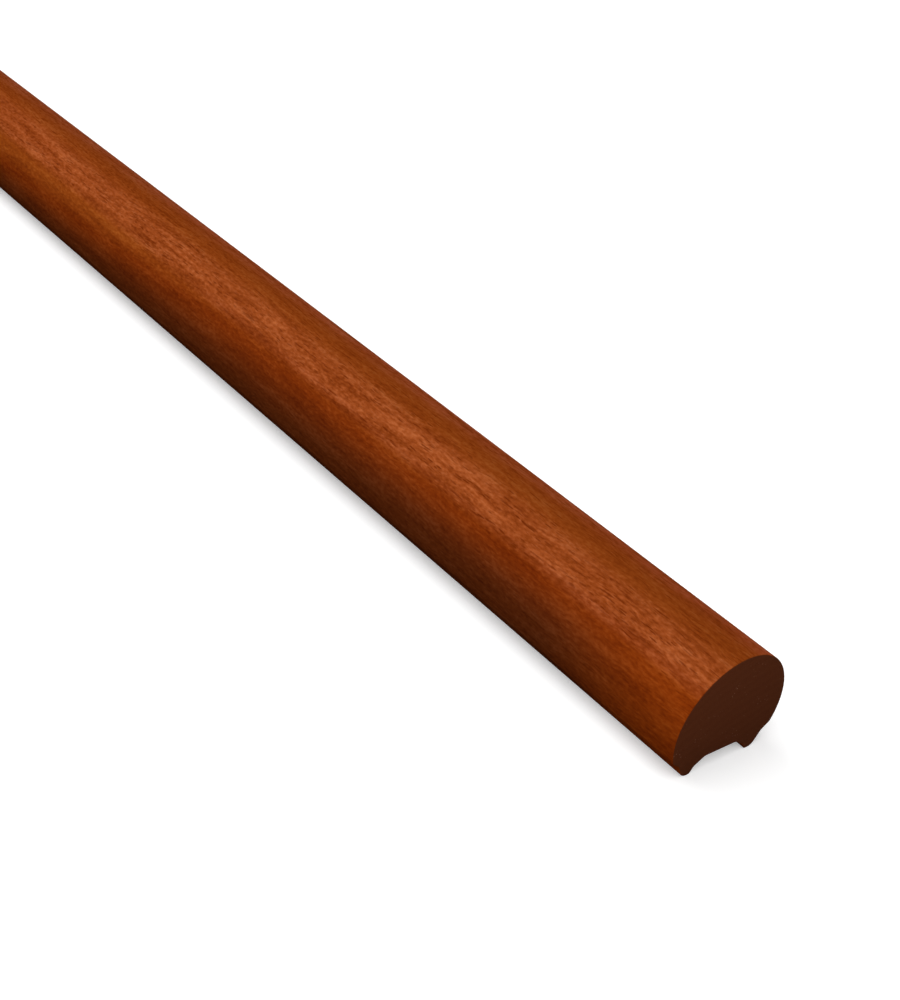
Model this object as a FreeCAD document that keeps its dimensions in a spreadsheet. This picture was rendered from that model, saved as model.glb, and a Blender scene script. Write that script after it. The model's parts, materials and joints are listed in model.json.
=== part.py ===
"""A length of moulded timber handrail, as sold for stairs.

One piece of hardwood with the same section from end to end: a round grip that sits on two
small rounded feet, with a shallow channel between the feet for the wall brackets' saddles.

Frame: X runs along the rail, Z is up, and the rail lies on its two feet at Z = 0 with the
origin at the middle of its length. Millimetres.
"""
import FreeCAD, Part
import Sketcher
import math
import os
from FreeCAD import Vector

doc = FreeCAD.newDocument("StairHandrail")

# Driving dimensions of the rail, each set once here
SIZES = [
    ("rail_length", 2400.0, "length as sold, square cut at both ends"),
    ("grip_diameter", 54.0, "across the round grip"),
    ("grip_centre_height", 19.0, "from the soles of the feet to the centre of the round"),
    ("arris_height", 8.6, "where the round ends and its underside begins"),
    ("arris_radius", 3.0, "softened edge where the round ends"),
    ("quirk_inset", 3.6, "from the end of the round in to the root of the quirk above the foot"),
    ("quirk_height", 6.0, "from the soles to the root of the quirk"),
    ("quirk_radius", 2.5, "hollow at the root of the quirk"),
    ("flank_inset", 3.3, "from the root of the quirk in to the foot's outer corner"),
    ("foot_outer_radius", 3.6, "rounding of each foot on its outer side"),
    ("sole_width", 3.8, "across each foot's sole, from corner to corner before they are rounded"),
    ("foot_inner_radius", 1.2, "rounding of each foot on its channel side"),
    ("wall_lean", 1.6, "from the foot's inner corner in to the top of the channel's steep wall"),
    ("wall_height", 2.8, "from the soles to the top of the steep wall"),
    ("wall_radius", 2.0, "hollow between the steep wall and the splay"),
    ("splay_width", 4.8, "from the top of the steep wall in to the edge of the ceiling"),
    ("channel_depth", 5.6, "from the soles to the flat ceiling, where a bracket's saddle seats"),
    ("ceiling_radius", 3.0, "hollow between the splay and the ceiling"),
]

# Corners of one half of the section, from the end of the round down and in to the ceiling.
# Each has its name and three cells: how far it lies in from the corner before it, its height
# above the soles, and its rounding. The first lies on the round, and a foot's two on the soles.
CORNERS = [
    ("arris", None, "arris_height", "arris_radius"),
    ("quirk", "quirk_inset", "quirk_height", "quirk_radius"),
    ("foot_outer", "flank_inset", None, "foot_outer_radius"),
    ("foot_inner", "sole_width", None, "foot_inner_radius"),
    ("throat", "wall_lean", "wall_height", "wall_radius"),
    ("ceiling", "splay_width", "channel_depth", "ceiling_radius"),
]

sheet = doc.addObject("Spreadsheet::Sheet", "sizes")
sheet.Label = "Sizes"
for row, (alias, value, note) in enumerate(SIZES, start=1):
    sheet.set(f"A{row}", alias)
    sheet.set(f"B{row}", str(value))
    sheet.set(f"C{row}", note)
    sheet.setAlias(f"B{row}", alias)
doc.recompute()


def size(alias):
    """The present value of one cell of the sheet."""
    return float(sheet.get(alias))


def origin_plane(body, role):
    """The body's own origin plane that has the given role."""
    return next(plane for plane in body.Origin.OriginFeatures if plane.Role == role)


def corner_places():
    """Where the corners of the +Y half lie, across the rail and above the soles, by name."""
    radius = size("grip_diameter") / 2
    below_centre = size("grip_centre_height") - size("arris_height")
    across = math.sqrt(radius ** 2 - below_centre ** 2)
    places = {}
    for name, inset_alias, height_alias, _ in CORNERS:
        across -= size(inset_alias) if inset_alias else 0.0
        places[name] = Vector(across, size(height_alias) if height_alias else 0.0, 0)
    return places


def draw_section(sketch):
    """Draws and binds the closed section: the round, then straight runs from corner to corner."""
    start, end, middle = 1, 2, 3
    origin, sole_line, upright_axis = (-1, 1), -1, -2

    right_corners = list(corner_places().values())
    left_corners = [Vector(-corner.x, corner.y, 0) for corner in reversed(right_corners)]
    corners = right_corners + left_corners

    centre = Vector(0, size("grip_centre_height"), 0)
    first_angle = math.atan2(corners[0].y - centre.y, corners[0].x)
    circle = Part.Circle(centre, Vector(0, 0, 1), size("grip_diameter") / 2)
    grip = sketch.addGeometry(Part.ArcOfCircle(circle, first_angle, math.pi - first_angle))
    runs = [sketch.addGeometry(Part.LineSegment(a, b)) for a, b in zip(corners, corners[1:])]

    def constrain(*terms):
        return sketch.addConstraint(Sketcher.Constraint(*terms))

    def bind(name, alias, kind, *places):
        index = constrain(kind, *places, size(alias))
        sketch.renameConstraint(index, name)
        sketch.setExpression(f"Constraints.{name}", f"{sheet.Name}.{alias}")

    # The outline closes on itself, end to start
    constrain("Coincident", grip, start, runs[0], start)
    for run, next_run in zip(runs, runs[1:]):
        constrain("Coincident", run, end, next_run, start)
    constrain("Coincident", runs[-1], end, grip, end)

    # The round stands over the middle, and both its ends are level
    constrain("PointOnObject", grip, middle, upright_axis)
    constrain("Horizontal", grip, start, grip, end)
    bind("grip", "grip_diameter", "Diameter", grip)
    bind("grip_centre", "grip_centre_height", "DistanceY", *origin, grip, middle)

    # Each corner past the first has a partner on the other side of the upright axis
    for run, (name, inset_alias, height_alias, _) in enumerate(CORNERS):
        right = (runs[run], start)
        left = (runs[-run - 1], end)
        if inset_alias:
            constrain("Symmetric", *left, *right, upright_axis)
            bind(f"{name}_inset", inset_alias, "DistanceX", *right, runs[run - 1], start)
        if height_alias:
            bind(f"{name}_level", height_alias, "DistanceY", *origin, *right)
        else:
            constrain("PointOnObject", *right, sole_line)


def edges_at(shape, corner):
    """Names of the two edges that run along the rail at a corner, one on each side."""
    reach = 1e-4
    names = []
    for index, edge in enumerate(shape.Edges, start=1):
        first, last = edge.firstVertex().Point, edge.lastVertex().Point
        is_long = abs(first.x - last.x) > size("rail_length") / 2
        if is_long and math.hypot(abs(first.y) - corner.x, first.z - corner.y) < reach:
            names.append(f"Edge{index}")
    return names


def round_corner(body, feature, name, radius_alias):
    """Rounds the pair of long edges at one corner of the section and returns the new feature."""
    rounding = body.newObject("PartDesign::Fillet", f"{name}_rounding")
    rounding.Base = (feature, edges_at(feature.Shape, corner_places()[name]))
    rounding.setExpression("Radius", f"{sheet.Name}.{radius_alias}")
    doc.recompute()
    return rounding


def build_handrail():
    """The whole rail: one section pushed through its length, with its long edges rounded."""
    body = doc.addObject("PartDesign::Body", "handrail")
    body.Label = "handrail"

    section = body.newObject("Sketcher::SketchObject", "section")
    section.AttachmentSupport = [(origin_plane(body, "YZ_Plane"), "")]
    section.MapMode = "FlatFace"
    draw_section(section)
    doc.recompute()
    if not section.FullyConstrained:
        raise RuntimeError("the section's sizes leave it free to move")

    length = body.newObject("PartDesign::Pad", "moulded_length")
    length.Profile = section
    length.Midplane = True
    length.setExpression("Length", f"{sheet.Name}.rail_length")
    section.Visibility = False
    doc.recompute()

    feature = length
    for name, _, _, radius_alias in CORNERS:
        feature = round_corner(body, feature, name, radius_alias)
    body.Placement = FreeCAD.Placement(Vector(0, 0, 0), FreeCAD.Rotation())
    doc.recompute()
    return body


rail = build_handrail()

# Nothing is written unless every feature worked and the rail is one sound solid
faults = [item.Name for item in doc.Objects if {"Invalid", "Error"} & set(item.State)]
if faults:
    raise RuntimeError(f"these objects failed: {faults}")
if rail.Shape.isNull() or not rail.Shape.isValid() or len(rail.Shape.Solids) != 1:
    raise RuntimeError("the handrail is not one valid solid")

os.makedirs("parts", exist_ok=True)
rail.Shape.exportStep(f"parts/{rail.Label}.step")
box = rail.Shape.BoundBox
litres = rail.Shape.Volume / 1e6
print(f"{rail.Label}: {box.XLength:.1f} x {box.YLength:.2f} x {box.ZLength:.2f} mm, {litres:.3f} litres")
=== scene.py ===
# %% [markdown]
# # A length of stair handrail
# The object is one length of moulded hardwood: a round grip on two small feet, with a shallow
# channel between them for the wall brackets. It is stained red-brown under a thin satin finish,
# and both ends are sawn square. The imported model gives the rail's place and its main sizes, and
# everything that follows is built around it, in metres.

# %% Load the frame
import json
import math

import bpy
from mathutils import Euler, Matrix, Vector


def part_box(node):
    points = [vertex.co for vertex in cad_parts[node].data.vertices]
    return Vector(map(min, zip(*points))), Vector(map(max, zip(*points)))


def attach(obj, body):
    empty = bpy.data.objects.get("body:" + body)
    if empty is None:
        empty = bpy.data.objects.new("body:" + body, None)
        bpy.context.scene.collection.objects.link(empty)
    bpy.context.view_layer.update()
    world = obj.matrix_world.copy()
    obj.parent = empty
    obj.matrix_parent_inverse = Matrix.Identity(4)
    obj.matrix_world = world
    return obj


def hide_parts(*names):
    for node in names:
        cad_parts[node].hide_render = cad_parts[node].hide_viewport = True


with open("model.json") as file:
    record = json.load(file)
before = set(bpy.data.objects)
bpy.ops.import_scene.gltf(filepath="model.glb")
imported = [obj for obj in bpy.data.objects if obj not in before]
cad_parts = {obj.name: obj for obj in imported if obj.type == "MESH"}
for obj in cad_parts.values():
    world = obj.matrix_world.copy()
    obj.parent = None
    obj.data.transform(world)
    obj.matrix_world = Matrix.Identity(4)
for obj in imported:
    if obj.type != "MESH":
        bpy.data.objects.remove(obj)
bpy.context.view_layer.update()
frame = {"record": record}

rail_low, rail_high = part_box("handrail")
RAIL_LENGTH = rail_high.x - rail_low.x
RAIL_HEIGHT = rail_high.z - rail_low.z
print(f"rail: {RAIL_LENGTH:.3f} m long, {RAIL_HEIGHT:.3f} m high")

# %% [markdown]
# ## The section
# A moulder's knives cut a rail like this in one pass, so every slice across it is the same. It
# could be cut from a cylinder and a box with booleans, but they make hard work of the small
# roundings. Here one slice is drawn with care, and the length is only a push. One half is enough
# to draw, because the other half is its mirror image: a ring of points for the round grip, cut
# off where its underside begins, and then from corner to corner round the foot and into the
# channel.

# %% Sizes of the section
MM = 0.001
GRIP_RADIUS = 27 * MM
GRIP_CENTRE = RAIL_HEIGHT - GRIP_RADIUS
ARRIS_HEIGHT = 8.6 * MM
ARRIS_RADIUS = 3.0 * MM
CHANNEL_MOUNT = next(m for m in frame["record"]["mounts"] if m["name"] == "bracket_channel")
CHANNEL_DEPTH = CHANNEL_MOUNT["pos_m"][2]

# Each corner below the arris: how far in from the corner before it, its height, its rounding
UNDERSIDE_CORNERS = [
    (3.6 * MM, 6.0 * MM, 2.5 * MM),
    (3.3 * MM, 0.0 * MM, 3.6 * MM),
    (3.8 * MM, 0.0 * MM, 1.2 * MM),
    (1.6 * MM, 2.8 * MM, 2.0 * MM),
    (4.8 * MM, CHANNEL_DEPTH, 3.0 * MM),
]
print(f"round {2 * GRIP_RADIUS / MM:.0f} mm across, channel {CHANNEL_DEPTH / MM:.1f} mm deep")

# %% Where the corners lie
saw_cut = rail_high.x
arris_angle = math.asin((GRIP_CENTRE - ARRIS_HEIGHT) / GRIP_RADIUS)
arris = Vector((saw_cut, GRIP_RADIUS * math.cos(arris_angle), ARRIS_HEIGHT))

corners = [arris]
for inset, height, _ in UNDERSIDE_CORNERS:
    corners.append(Vector((saw_cut, corners[-1].y - inset, height)))
radii = [ARRIS_RADIUS] + [radius for _, _, radius in UNDERSIDE_CORNERS]
ceiling_middle = Vector((saw_cut, 0, CHANNEL_DEPTH))
print(f"{len(corners)} corners, from {arris.y / MM:.1f} mm out to {corners[-1].y / MM:.1f} mm")

# %% How far each rounding reaches from its corner
down_the_round = Vector((0, -math.sin(arris_angle), -math.cos(arris_angle)))
directions = [down_the_round]
directions += [there - here for here, there in zip(corners, corners[1:] + [ceiling_middle])]
turns = [before.angle(after) for before, after in zip(directions, directions[1:])]
reaches = [radius * math.tan(turn / 2) for radius, turn in zip(radii, turns)]
print("the outline turns by", [round(math.degrees(turn)) for turn in turns], "degrees")

# %% The round, cut off where the arris starts to turn in
ROUND_POINTS = 240

bpy.ops.object.select_all(action="DESELECT")
bpy.ops.mesh.primitive_circle_add(
    vertices=ROUND_POINTS,
    radius=GRIP_RADIUS,
    location=(saw_cut, 0, GRIP_CENTRE),
    rotation=(math.radians(90), 0, math.radians(90)),
)
rail = bpy.context.object
rail.name = "moulded_handrail"
rail.data.name = "moulded_handrail"
bpy.ops.object.transform_apply(location=True, rotation=True, scale=True)

end_of_round = GRIP_CENTRE - GRIP_RADIUS * math.sin(arris_angle - reaches[0] / GRIP_RADIUS)
bpy.ops.object.mode_set(mode="EDIT")
bpy.ops.mesh.select_all(action="SELECT")
bpy.ops.mesh.bisect(plane_co=(0, 0, end_of_round), plane_no=(0, 0, 1), clear_inner=True)
bpy.ops.mesh.select_all(action="SELECT")
bpy.ops.mesh.bisect(plane_co=(0, 0, 0), plane_no=(0, 1, 0), clear_inner=True)
bpy.ops.object.mode_set(mode="OBJECT")
print(f"half of the round: {len(rail.data.vertices)} points")

# %% Helpers that pick parts of a mesh
HAIR = 0.01 * MM


def pick(piece, kind, wanted):
    """In edit mode, selects the vertices, edges or faces that pass a test, and nothing else."""
    modes = {"vertices": "VERT", "edges": "EDGE", "polygons": "FACE"}
    bpy.ops.mesh.select_mode(type=modes[kind])
    bpy.ops.mesh.select_all(action="DESELECT")
    bpy.ops.object.mode_set(mode="OBJECT")
    chosen = [item for item in getattr(piece.data, kind) if wanted(item)]
    for item in chosen:
        item.select = True
    bpy.ops.object.mode_set(mode="EDIT")
    return len(chosen)


def near(place):
    """A test for vertices that lie within a hair of one place."""
    return lambda vertex: (vertex.co - place).length < HAIR


# %% The underside, corner by corner, and then its roundings
CORNER_SEGMENTS = 8

last = min((vertex.co.copy() for vertex in rail.data.vertices), key=lambda place: place.z)
bpy.ops.object.mode_set(mode="EDIT")
pick(rail, "vertices", near(last))
for corner in corners + [ceiling_middle]:
    bpy.ops.mesh.extrude_vertices_move(TRANSFORM_OT_translate={"value": corner - last})
    last = corner

for corner, reach in zip(corners, reaches):
    pick(rail, "vertices", near(corner))
    bpy.ops.mesh.bevel(affect="VERTICES", offset=reach, segments=CORNER_SEGMENTS)
bpy.ops.object.mode_set(mode="OBJECT")
print(f"half section: {len(rail.data.vertices)} points")

# %% [markdown]
# ## From the section to the rail
# The timber runs straight past the knives, and a saw cuts it off square. A curve with a depth
# could make the length too, but a mesh keeps hold of the sawn edges. A Mirror modifier makes the
# other half and welds the two at the middle. Filled in, the outline is the sawn end, and pushing
# it along the grain gives the rail. A sharp saw cut still loses a hair of its edge to the
# sandpaper, and without that no light would ever catch the edge.

# %% Mirror, fill and push
mirror = rail.modifiers.new("other_half", "MIRROR")
mirror.use_axis = (False, True, False)
mirror.merge_threshold = HAIR
bpy.ops.object.modifier_apply(modifier=mirror.name)
print(f"whole section: {len(rail.data.vertices)} points")

bpy.ops.object.mode_set(mode="EDIT")
bpy.ops.mesh.select_all(action="SELECT")
bpy.ops.mesh.remove_doubles(threshold=HAIR)
bpy.ops.mesh.edge_face_add()
bpy.ops.mesh.extrude_region_move(TRANSFORM_OT_translate={"value": (-RAIL_LENGTH, 0, 0)})
bpy.ops.mesh.select_all(action="SELECT")
bpy.ops.mesh.normals_make_consistent(inside=False)

# %% Ease the edges of both saw cuts
EASED = 0.25 * MM
EASED_SEGMENTS = 3
SMOOTH_BELOW = math.radians(35)


def at_a_saw_cut(edge):
    """True for an edge of the sawn ends' outlines."""
    a, b = (rail.data.vertices[index].co for index in edge.vertices)
    return abs(a.x - b.x) < HAIR and abs(abs(a.x) - RAIL_LENGTH / 2) < HAIR


eased_edges = pick(rail, "edges", at_a_saw_cut)
bpy.ops.mesh.bevel(offset=EASED, segments=EASED_SEGMENTS, clamp_overlap=False)
bpy.ops.object.mode_set(mode="OBJECT")
bpy.ops.object.shade_smooth_by_angle(angle=SMOOTH_BELOW)
print(f"{eased_edges} edges eased, {len(rail.data.polygons)} faces in all")

# %% [markdown]
# ## The timber
# Timber is the same stuff all the way through. A picture of wood wrapped round the rail would
# show a seam, and it would look wrong at a saw cut. So the pattern is worked out in the whole
# block, and the surface shows it where it cuts it. Object coordinates give the place in the
# block, in metres, and everything is stretched along the grain: the long sides show streaks and
# the short dashes of open pores, and a sawn end shows the same pores as dots.

# %% An empty material for the long grain
def new_material(name):
    """An empty material, its node tree and its shader."""
    material = bpy.data.materials.new(name)
    material.use_nodes = True
    tree = material.node_tree
    return material, tree, tree.nodes["Principled BSDF"]


def add(tree, kind, label, inputs=None, **settings):
    """Adds a labelled node. Each input is a plain value or another node's output socket."""
    made = tree.nodes.new(kind)
    made.label = label
    for name, value in settings.items():
        setattr(made, name, value)
    for name, value in (inputs or {}).items():
        if isinstance(value, bpy.types.NodeSocket):
            tree.links.new(value, made.inputs[name])
        else:
            made.inputs[name].default_value = value
    return made


long_grain, tree, shader = new_material("stained_long_grain")
coordinates = add(tree, "ShaderNodeTexCoord", "place in the block").outputs
print(f"{long_grain.name} starts with {len(tree.nodes)} nodes")

# %% [markdown]
# ## Waves in the grain
# No fibre grows straight. Each pattern could be bent by itself, but in a plank they all bend
# together. So each place in the block is shifted sideways by a noise before any pattern is looked
# up there: slow waves carry the figure, and short ones tilt single vessels.

# %% Helpers for places in the block
def stretched(tree, label, place, along, across):
    """The place in the block, scaled so that a pattern is this long and this wide, in metres."""
    scale = (1 / along, 1 / across, 1 / across)
    return add(tree, "ShaderNodeMapping", label, {"Vector": place, "Scale": scale}).outputs[0]


def vector_sum(tree, label, operation, a, b):
    """One Vector Math node, and its result."""
    return add(tree, "ShaderNodeVectorMath", label, {0: a, 1: b}, operation=operation).outputs[0]


# %% Waves in the grain
# The length, width and height of each kind of wave
SLOW_WAVES = (70 * MM, 40 * MM, 3.0 * MM)
SHORT_WAVES = (14 * MM, 6 * MM, 1.0 * MM)
NOISE_MIDDLE = (0.5, 0.5, 0.5)


def wavy(tree, label, place, waves):
    """The place in the block, shifted sideways by one kind of wave."""
    length, width, height = waves
    at = stretched(tree, f"size of {label}", place, length, width)
    soft = add(tree, "ShaderNodeTexNoise", label, {"Vector": at, "Scale": 1.0, "Detail": 1.0})
    both_ways = vector_sum(tree, f"{label} both ways", "SUBTRACT", soft.outputs[1], NOISE_MIDDLE)
    sideways = (0, 2 * height, 2 * height)
    shift = vector_sum(tree, f"{label} across the grain", "MULTIPLY", both_ways, sideways)
    return vector_sum(tree, f"place in {label}", "ADD", place, shift)


def wavy_grain(tree, place):
    """The place in the block, shifted by slow waves and then by short ones."""
    return wavy(tree, "short waves", wavy(tree, "slow waves", place, SLOW_WAVES), SHORT_WAVES)


place = wavy_grain(tree, coordinates["Object"])
print(f"waves {SLOW_WAVES[0] / MM:.0f} mm and {SHORT_WAVES[0] / MM:.0f} mm long")

# %% [markdown]
# ## Tone of the wood
# Under one stain the wood is still darker here and lighter there: broad soft figure, thin streaks
# and fine fibres run along the grain, and small flecks lie between them. Each could have a colour
# of its own, but real ones all come out of one can. So four noises, each with its own size and
# share, add up to one tone, which is turned into colour only once, by the stain.

# %% Helpers for patterns that add up
def noise(tree, label, place, along, across, detail=2.0):
    """Soft patches of one length and width, from 0 to 1."""
    at = stretched(tree, f"size of {label}", place, along, across)
    inputs = {"Vector": at, "Scale": 1.0, "Detail": detail}
    return add(tree, "ShaderNodeTexNoise", label, inputs).outputs[0]


def arithmetic(tree, label, operation, a, b=0.0, c=0.0):
    """One Math node, and its result."""
    return add(tree, "ShaderNodeMath", label, {0: a, 1: b, 2: c}, operation=operation).outputs[0]


# %% Tone of the wood
# Each pattern's share of the tone, its length, its width and its detail
TONE_PATTERNS = {
    "figure": (0.36, 35 * MM, 4 * MM, 2.0),
    "streaks": (0.16, 30 * MM, 1.5 * MM, 2.0),
    "fibres": (0.04, 6 * MM, 0.5 * MM, 1.0),
    "flecks": (0.42, 2.6 * MM, 1.0 * MM, 2.0),
}

tone = 0.0
patterns = {}
for name, (share, length, width, detail) in TONE_PATTERNS.items():
    patterns[name] = noise(tree, name, place, length, width, detail)
    tone = arithmetic(tree, f"tone with {name}", "MULTIPLY_ADD", patterns[name], share, tone)
print("the tone is made of", ", ".join(patterns))

# %% [markdown]
# ## Open pores
# Along the grain the vessels of this hardwood lie open as short dark dashes, because stain stays
# in them. Thousands of cut grooves would do it too, but far too heavily. A Voronoi texture
# stretched along the grain gives one long cell for each vessel, and a draw of lots leaves some
# out and makes some shallow. Two slow noises then gather them in rows and chains, as trees do.

# %% Helpers for cells that hold a vessel
FULL_CORE = 0.6
SHALLOWEST = 0.4


def rescaled(tree, label, value, given, wanted, smooth=False):
    """A value moved from the given range to the wanted one, and held at its ends."""
    inputs = {0: value, 1: given[0], 2: given[1], 3: wanted[0], 4: wanted[1]}
    course = "SMOOTHSTEP" if smooth else "LINEAR"
    return add(tree, "ShaderNodeMapRange", label, inputs, interpolation_type=course).outputs[0]


def pores(tree, label, place, along, across, size, share):
    """Long thin vessels, 1 inside and 0 outside. Share is how many of the cells hold a vessel."""
    at = stretched(tree, f"size of {label}", place, along, across)
    cells = add(tree, "ShaderNodeTexVoronoi", label, {"Vector": at, "Scale": 1.0}).outputs
    rim = (size, FULL_CORE * size)
    inside = rescaled(tree, f"inside {label}", cells["Distance"], rim, (0.0, 1.0), smooth=True)
    lots = add(tree, "ShaderNodeSeparateColor", f"lots of {label}", {0: cells["Color"]}).outputs
    drawn = arithmetic(tree, f"share of {label}", "LESS_THAN", lots[0], share)
    depths = (1 - SHALLOWEST, SHALLOWEST)
    darkening = arithmetic(tree, f"depth of {label}", "MULTIPLY_ADD", lots[1], *depths)
    shown = arithmetic(tree, f"{label} that were drawn", "MULTIPLY", inside, drawn)
    return arithmetic(tree, f"{label} in all", "MULTIPLY", shown, darkening)


# %% Large vessels, more of them in the rows
rows = noise(tree, "rows", place, along=60 * MM, across=2.6 * MM, detail=1.0)
in_rows = rescaled(tree, "in rows", rows, given=(0.45, 0.57), wanted=(0.1, 0.8))
large = pores(tree, "large vessels", place, along=13 * MM, across=1.0 * MM, size=0.42, share=0.9)
rowed = arithmetic(tree, "large vessels in rows", "MULTIPLY", large, in_rows)
print(f"with large vessels: {len(tree.nodes)} nodes")

# %% Small vessels in chains, and a dull line along each chain
DULL_LINES = 0.14

chains = noise(tree, "chains", place, along=80 * MM, across=1.3 * MM, detail=1.0)
in_chains = rescaled(tree, "in chains", chains, given=(0.45, 0.58), wanted=(0.12, 0.95))
small = pores(tree, "small vessels", place, along=6 * MM, across=0.8 * MM, size=0.44, share=0.9)
chained = arithmetic(tree, "small vessels in chains", "MULTIPLY", small, in_chains)
dull = arithmetic(tree, "dull lines", "MULTIPLY", in_chains, DULL_LINES)
lines = arithmetic(tree, "lines and small vessels", "MAXIMUM", dull, chained)
vessels = arithmetic(tree, "open grain", "MAXIMUM", rowed, lines)
print(f"with small vessels: {len(tree.nodes)} nodes")

# %% [markdown]
# ## The stain, and painted shade on the flanks
# The stain is wiped on with a cloth, and it stays in the pores. Down the flanks the colour is made
# deeper and redder as painted shade, further down in one place than in another, and close to a saw
# cut that painted shade is lifted again as painted light. It could be painted on by hand, but then
# every length would need its own painting. The shader can work it out by itself: how far the
# surface faces up, which is the Z of its normal, tells top from flank, and the place along the
# block tells how far the saw cut is.

# %% Colours of the stain
def srgb(red, green, blue):
    """A colour read off a screen, 0 to 255, as the linear values that shaders work in."""
    def linear(value):
        value = value / 255
        return value / 12.92 if value <= 0.04045 else ((value + 0.055) / 1.055) ** 2.4
    return (linear(red), linear(green), linear(blue), 1.0)


def ramp_of(tree, label, factor, colours):
    """A colour ramp through colours given by their places on it, from 0 to 1, and its result."""
    ramp = add(tree, "ShaderNodeValToRGB", label, {0: factor})
    stops = ramp.color_ramp.elements
    stops.remove(stops[0])
    for index, (position, colour) in enumerate(colours.items()):
        stop = stops.new(position) if index else stops[0]
        stop.position = position
        stop.color = colour
    return ramp.outputs[0]


STAIN = {0.33: srgb(114, 46, 10), 0.50: srgb(142, 65, 17), 0.67: srgb(166, 86, 32)}
stain = ramp_of(tree, "stain", tone, STAIN)
print(f"the stain runs through {len(STAIN)} colours, from dark to light")

# %% Helpers for vectors and colours
def part_of_vector(tree, label, vector, index):
    """One part of a vector: 0 is X, 1 is Y and 2 is Z."""
    return add(tree, "ShaderNodeSeparateXYZ", label, {0: vector}).outputs[index]


def blend_colours(tree, label, factor, a, b, way="MIX"):
    """One Mix node for colours, and its result."""
    inputs = {0: factor, 6: a, 7: b}
    return add(tree, "ShaderNodeMix", label, inputs, data_type="RGBA", blend_type=way).outputs[2]


# %% Stain in the pores, which show best where the top is rubbed
PORE_COLOUR = srgb(97, 33, 3)
RUBBED_FACING = (0.58, 0.69)
PORES_SHOWN = (0.45, 0.88)

facing_up = part_of_vector(tree, "facing up", coordinates["Normal"], 2)
rubbed = rescaled(tree, "rubbed on top", facing_up, RUBBED_FACING, (0.0, 1.0))
shown = rescaled(tree, "vessels show where rubbed", rubbed, (0.0, 1.0), PORES_SHOWN)
held = arithmetic(tree, "stain held by vessels", "MULTIPLY", vessels, shown)
stained = blend_colours(tree, "stained wood", held, stain, PORE_COLOUR)
print(f"pores show at {PORES_SHOWN[0]:.0%} on the flanks and at {PORES_SHOWN[1]:.0%} on top")

# %% Painted shade down the flanks, further down in one place than in another
DRIFT_LENGTH = 230 * MM
DRIFT_WIDTH = 60 * MM
DRIFT = 0.55

# A noise hovers round 0.46, so the drift adds this much on average
DRIFT_MIDDLE = 0.46 * DRIFT
FLANK_FACING = (DRIFT_MIDDLE - 0.10, DRIFT_MIDDLE + 0.66)
# Painted shade: darker and redder as the flank faces down, greyer at the very bottom
FLANK_PAINTED_SHADE = {
    0.0: (0.48, 0.48, 0.88, 1.0),
    0.26: (0.53, 0.48, 0.78, 1.0),
    0.72: (0.80, 0.63, 0.58, 1.0),
    1.0: (1.0, 1.0, 1.0, 1.0),
}

# Painted shade: its edge drifts slowly along the rail, and it darkens the flanks' colour
drift = noise(tree, "slow drift of the painted shade", place, DRIFT_LENGTH, DRIFT_WIDTH, detail=0.0)
drifted = arithmetic(tree, "facing with drift", "MULTIPLY_ADD", drift, DRIFT, facing_up)
up_the_flank = rescaled(tree, "up the flank", drifted, FLANK_FACING, (0.0, 1.0))
painted_flank_shade = ramp_of(tree, "painted shade down the flank", up_the_flank, FLANK_PAINTED_SHADE)
print(f"the stain's edge drifts over {DRIFT_LENGTH / MM:.0f} mm of rail")

# %% Painted light on the flanks close to the saw cuts
PAINTED_LIGHT_LENGTH = 75 * MM
# Painted light: close to a saw cut the flanks' painted shade is lifted again
PAINTED_LIGHT_NEAR_CUTS = {0.6: (0.97, 0.77, 0.55, 1.0), 1.0: (1.0, 1.0, 1.0, 1.0)}

along_the_rail = part_of_vector(tree, "along the rail", coordinates["Object"], 0)
from_middle = arithmetic(tree, "from the middle", "ABSOLUTE", along_the_rail)
last_stretch = (RAIL_LENGTH / 2 - PAINTED_LIGHT_LENGTH, RAIL_LENGTH / 2)
near_cut = rescaled(tree, "near a saw cut", from_middle, last_stretch, (0.0, 1.0), smooth=True)
lightened = ramp_of(tree, "painted light on the flank", up_the_flank, PAINTED_LIGHT_NEAR_CUTS)
# Painted shade down the flanks, lifted by painted light near the saw cuts, multiplies the stain
darkening = blend_colours(tree, "painted shade lifted near the saw cuts", near_cut, painted_flank_shade, lightened)
colour = blend_colours(tree, "long grain", 1.0, stained, darkening, way="MULTIPLY")
tree.links.new(colour, shader.inputs["Base Color"])
print(f"painted light over the last {PAINTED_LIGHT_LENGTH / MM:.0f} mm, {len(tree.nodes)} nodes so far")

# %% [markdown]
# ## Satin and relief
# The top of the round is rubbed up and carries a thin clear film, which gleams on the lighter
# fibres and stays dull in the pores, hollows of about a tenth of a millimetre. One low roughness
# all over would look like plastic, and modelled hollows would take millions of faces. So a
# metallic share with a red-brown edge gives the coloured sheen, the shader's coat gives the film,
# both only where the wood is rubbed, and a Bump node tilts the light in the hollows.

# %% Sheen and film on the rubbed top
SHEEN = 0.42
FILM = 0.035
GLEAM_TONES = (0.39, 0.61)
GLEAM = (0.40, 1.30)

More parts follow.
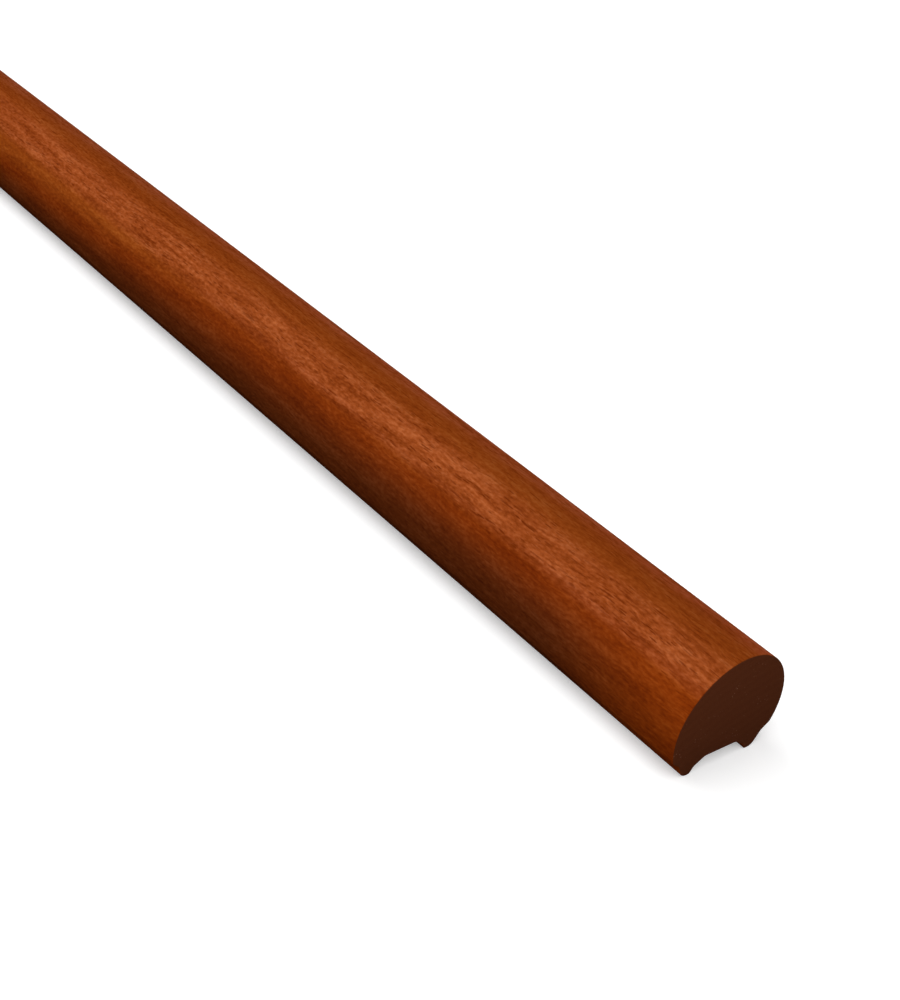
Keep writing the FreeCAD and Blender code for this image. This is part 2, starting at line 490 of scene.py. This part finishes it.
gleam = rescaled(tree, "gleam of the lighter fibres", tone, GLEAM_TONES, GLEAM)
between = arithmetic(tree, "between the vessels", "SUBTRACT", 1.0, vessels)
bare = arithmetic(tree, "rubbed between the vessels", "MULTIPLY", between, rubbed)
satin = arithmetic(tree, "satin", "MULTIPLY", bare, gleam)
sheen = arithmetic(tree, "coloured sheen", "MULTIPLY", satin, SHEEN)
clear = arithmetic(tree, "clear gleam", "MULTIPLY", satin, gleam)
film = arithmetic(tree, "thin clear film", "MULTIPLY", clear, FILM)
tree.links.new(sheen, shader.inputs["Metallic"])
tree.links.new(film, shader.inputs["Coat Weight"])
print(f"lightest fibres: sheen {SHEEN * GLEAM[1]:.0%}, film {FILM * GLEAM[1] ** 2:.1%}")

# %% How dull the wood and its film are
ROUGHNESS = (0.50, 0.70)
FILM_ROUGHNESS = 0.32
FILM_IOR = 2.5
EDGE_TINT = (0.5, 0.2, 0.1, 1.0)

roughness = rescaled(tree, "duller in the vessels", vessels, (0.0, 1.0), ROUGHNESS)
tree.links.new(roughness, shader.inputs["Roughness"])
shader.inputs["Coat Roughness"].default_value = FILM_ROUGHNESS
shader.inputs["Coat IOR"].default_value = FILM_IOR
shader.inputs["Specular IOR Level"].default_value = 0.0
shader.inputs["Specular Tint"].default_value = EDGE_TINT
print(f"roughness {ROUGHNESS[0]} on the wood, {ROUGHNESS[1]} in the vessels")

# %% Relief of the open grain
FLECK_RELIEF = 0.35
RELIEF_DEPTH = 0.10 * MM
RELIEF_STRENGTH = 0.4

raised = arithmetic(tree, "relief of flecks", "MULTIPLY", patterns["flecks"], FLECK_RELIEF)
height = arithmetic(tree, "relief in all", "SUBTRACT", raised, vessels)
inputs = {"Height": height, "Distance": RELIEF_DEPTH, "Strength": RELIEF_STRENGTH}
relief = add(tree, "ShaderNodeBump", "relief", inputs).outputs[0]
tree.links.new(relief, shader.inputs["Normal"])
tree.links.new(relief, shader.inputs["Coat Normal"])
print(f"{long_grain.name}: {len(tree.nodes)} nodes")

# %% [markdown]
# ## End grain
# A saw cut opens every vessel, so the end drinks stain and dries dull and dark. Growth rings are
# arcs there, round a pith that lay outside this length of timber, the vessels are dots, and a
# little sanding dust stays in drifts. One material could do both by asking which way the surface
# faces, but it would blur over the eased edge, so the saw cuts get a material of their own. It
# reuses the waves and the vessels, and a Wave texture centred on the pith gives the rings.

# %% Growth rings
PITH = (0.0, 0.045, -0.110)
RING_SPACING = 4.2 * MM

# At scale 1 a Wave texture runs through 20 radians in each unit of length
WAVES_PER_UNIT = 20 / (2 * math.pi)

end_grain, tree, shader = new_material("stained_end_grain")
block = add(tree, "ShaderNodeTexCoord", "place in the block").outputs["Object"]
place = wavy_grain(tree, block)
inputs = {
    "Vector": vector_sum(tree, "from the pith", "SUBTRACT", place, PITH),
    "Scale": 1 / (WAVES_PER_UNIT * RING_SPACING),
    "Distortion": 2.5,
    "Detail": 1.0,
    "Detail Scale": 0.35,
}
rings = add(tree, "ShaderNodeTexWave", "rings", inputs, wave_type="RINGS", rings_direction="X")
print(f"rings {RING_SPACING / MM:.1f} mm apart")

# %% Dark rings and mottle, and a darker dot for each vessel
END_DEEP = srgb(89, 45, 26)
END_LIGHT = srgb(108, 58, 35)
RINGS_SHARE = 0.12
MOTTLE_SHARE = 0.7
DOT_STAIN = 0.25

ringed = arithmetic(tree, "part of rings", "MULTIPLY", rings.outputs["Fac"], RINGS_SHARE)
mottle = noise(tree, "mottle", place, along=8 * MM, across=0.8 * MM)
end_tone = arithmetic(tree, "rings and mottle", "MULTIPLY_ADD", mottle, MOTTLE_SHARE, ringed)
dry = blend_colours(tree, "dry end grain", end_tone, END_DEEP, END_LIGHT)
dots = pores(tree, "cut vessels", place, along=17 * MM, across=0.9 * MM, size=0.34, share=0.6)
held = arithmetic(tree, "stain held by the dots", "MULTIPLY", dots, DOT_STAIN)
dotted = blend_colours(tree, "dotted end grain", held, dry, PORE_COLOUR)
print(f"with rings, mottle and dots: {len(tree.nodes)} nodes")

# %% Sanding dust in drifts
DUST = srgb(176, 124, 104)
DULL = 0.9

dust = pores(tree, "sanding dust", block, along=3 * MM, across=1.3 * MM, size=0.24, share=0.5)
drifts = noise(tree, "drifts", block, along=30 * MM, across=9 * MM)
where = rescaled(tree, "where dust lies", drifts, given=(0.50, 0.64), wanted=(0.0, 0.5))
dusted = arithmetic(tree, "dust in drifts", "MULTIPLY", dust, where)
colour = blend_colours(tree, "end grain", dusted, dotted, DUST)
tree.links.new(colour, shader.inputs["Base Color"])
shader.inputs["Roughness"].default_value = DULL
shader.inputs["Specular IOR Level"].default_value = 0.0
print(f"{end_grain.name}: {len(tree.nodes)} nodes")

# %% Long grain all round, end grain on the saw cuts
SAWN_FACING = 0.9

rail.data.materials.clear()
rail.data.materials.append(long_grain)
rail.data.materials.append(end_grain)
bpy.ops.object.mode_set(mode="EDIT")
sawn_faces = pick(rail, "polygons", lambda face: abs(face.normal.x) > SAWN_FACING)
rail.active_material_index = 1
bpy.ops.object.material_slot_assign()
bpy.ops.object.mode_set(mode="OBJECT")
print(f"{sawn_faces} faces have end grain, the others long grain")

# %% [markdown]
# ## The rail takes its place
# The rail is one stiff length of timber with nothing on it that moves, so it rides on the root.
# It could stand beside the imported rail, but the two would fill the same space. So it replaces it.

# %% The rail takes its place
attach(rail, "root")
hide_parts("handrail")
print(f"{rail.name} stands in for the packed rail")

# %% [markdown]
# ## The floor and the backdrop
# The rail lies on a white studio floor that runs into a white backdrop without an edge. A floor
# lit until it burns out would be white too, but it would throw all that light up under the rail.
# So the floor is white only for rays that show it, and throws back little, so that the underside
# stays as dark as it is in life. It keeps the rail's soft shadow. Far from the lamps it would go
# grey, so a glow that only the camera and reflections see takes over there, out to the backdrop.

# %% Floor paint
FLOOR_WHITE = (0.86, 0.86, 0.86, 1.0)
FLOOR_BOUNCE = (0.25, 0.25, 0.25, 1.0)


def seen_directly(tree):
    """1 for rays that show the background: from the camera, in a reflection or through glass."""
    rays = add(tree, "ShaderNodeLightPath", "kind of ray").outputs
    seen = rays["Is Camera Ray"]
    for kind in ("Is Glossy Ray", "Is Transmission Ray"):
        seen = arithmetic(tree, f"or {kind}", "MAXIMUM", seen, rays[kind])
    return seen


floor_paint, tree, shader = new_material("studio_floor")
tree.nodes.remove(shader)
seen = seen_directly(tree)
paint = blend_colours(tree, "white when seen", seen, FLOOR_BOUNCE, FLOOR_WHITE)
matt = add(tree, "ShaderNodeBsdfDiffuse", "matt paint", {"Color": paint})
print(f"the floor throws back {FLOOR_BOUNCE[0]:.0%} of the light")

# %% Glow where the lamps don't reach
LIT_MIDDLE = (0, -0.3, 0)
LIT = (1.0, 4.0)
GLOW = (0.30, 1.0)

floor_place = add(tree, "ShaderNodeTexCoord", "place on the floor").outputs["Object"]
inputs = {0: floor_place, 1: LIT_MIDDLE}
away = add(tree, "ShaderNodeVectorMath", "away from the lit middle", inputs, operation="DISTANCE")
glow = rescaled(tree, "glow grows with distance", away.outputs["Value"], LIT, GLOW)
strength = arithmetic(tree, "glow when seen", "MULTIPLY", seen, glow)
light = add(tree, "ShaderNodeEmission", "glow", {"Strength": strength})
both = add(tree, "ShaderNodeAddShader", "paint and glow", {0: matt.outputs[0], 1: light.outputs[0]})
tree.links.new(both.outputs[0], tree.nodes["Material Output"].inputs["Surface"])
print(f"the glow grows from {LIT[0]:.0f} m to {LIT[1]:.0f} m away")

# %% Floor
FLOOR_SIZE = 80

bpy.ops.object.select_all(action="DESELECT")
bpy.ops.mesh.primitive_plane_add(size=FLOOR_SIZE, location=(0, 0, rail_low.z - HAIR))
floor = bpy.context.object
floor.name = "studio_floor"
floor.data.materials.append(floor_paint)
print(f"floor {FLOOR_SIZE} m wide, a hair below the rail's feet")

# %% World: a white backdrop all round under a dim ceiling
CEILING_LIGHT = 0.06
BACKDROP_FADES = (19, 26)

world = bpy.data.worlds.new("studio")
bpy.context.scene.world = world
world.use_nodes = True
sky = world.node_tree
direction = add(sky, "ShaderNodeTexCoord", "direction").outputs["Generated"]
upwards = part_of_vector(sky, "upwards", direction, 2)
fades = [math.sin(math.radians(height)) for height in BACKDROP_FADES]
backdrop = rescaled(sky, "backdrop below the ceiling", upwards, fades, (1.0, 0.0))
shown = arithmetic(sky, "backdrop when seen", "MULTIPLY", seen_directly(sky), backdrop)
brightness = arithmetic(sky, "backdrop or ceiling", "MAXIMUM", shown, CEILING_LIGHT)
white = sky.nodes["Background"]
white.inputs["Color"].default_value = (1, 1, 1, 1)
sky.links.new(brightness, white.inputs["Strength"])
print(f"backdrop white up to {BACKDROP_FADES[0]} degrees, ceiling {CEILING_LIGHT:.0%} of white")

# %% [markdown]
# ## The light
# Light is what shows that the grip is round. A small lamp would put one bright spot on it, and a
# sun a hard line, while long stock is best lit with a long soft box, hung over it and parallel to
# it, which gives one even band down the whole round. A second box, weak and low on the far side,
# keeps that side from going black.

# %% Lamps
BOX_LENGTH = 4 * RAIL_LENGTH


def soft_box(name, angle, distance, width, brightness):
    """A soft box as long as four rails, parallel to the rail and facing it.

    The angle is how far round the rail it hangs, from level on the +Y side, in degrees. The
    brightness is that of its white cloth, where 1 is white."""
    turn = math.radians(angle)
    axis = Vector((0, 0, GRIP_CENTRE))
    away = Vector((0, math.cos(turn), math.sin(turn)))
    bpy.ops.object.light_add(type="AREA", location=axis + distance * away)
    lamp = bpy.context.object
    lamp.name = name
    along = Vector((1, 0, 0))
    lamp.rotation_euler = Matrix((along, away.cross(along), away)).transposed().to_euler()
    lamp.data.shape = "RECTANGLE"
    lamp.data.size = BOX_LENGTH
    lamp.data.size_y = width
    lamp.data.energy = brightness * math.pi * BOX_LENGTH * width
    lamp.visible_camera = False
    print(f"{name}: {BOX_LENGTH:.1f} m by {width:.1f} m, {lamp.data.energy:.0f} W")


soft_box("overhead_box", angle=112.5, distance=2.6, width=3.7, brightness=1.93)
soft_box("far_side_box", angle=12, distance=2.6, width=0.9, brightness=0.6)

# %% [markdown]
# ## The camera
# It could be set by eye, but the edges of the rail tell more. The two long silhouettes meet far
# off to the upper left, and the round of the end face tells how much the lens bends that end.
# Together they fix where the camera stood: half a metre from the near end, above it and to one
# side, looking down along the rail, a little tilted.

# %% Camera
CAMERA_PAST_END = 246.1 * MM
CAMERA_ASIDE = -382.5 * MM
CAMERA_HEIGHT = 354.9 * MM
AZIMUTH = math.radians(46.66)
ELEVATION = math.radians(31.30)
TILT = math.radians(10.33)
NEAREST = 0.02
FARTHEST = 100

# The lens and the sensor behind it are measured in millimetres, as camera makers do
LENS = 57.2
SENSOR_WIDTH = 36

bpy.ops.object.camera_add(location=(rail_high.x + CAMERA_PAST_END, CAMERA_ASIDE, CAMERA_HEIGHT))
camera = bpy.context.object
camera.name = "photo_camera"
level = Euler((math.pi / 2 - ELEVATION, 0, AZIMUTH)).to_matrix()
camera.rotation_euler = (level @ Matrix.Rotation(TILT, 3, "Z")).to_euler()
camera.data.lens = LENS
camera.data.sensor_width = SENSOR_WIDTH
camera.data.clip_start = NEAREST
camera.data.clip_end = FARTHEST
bpy.context.scene.camera = camera
bpy.context.scene.view_settings.view_transform = "Standard"
print(f"camera {(camera.location - Vector((rail_high.x, 0, 0))).length:.2f} m from the near end")
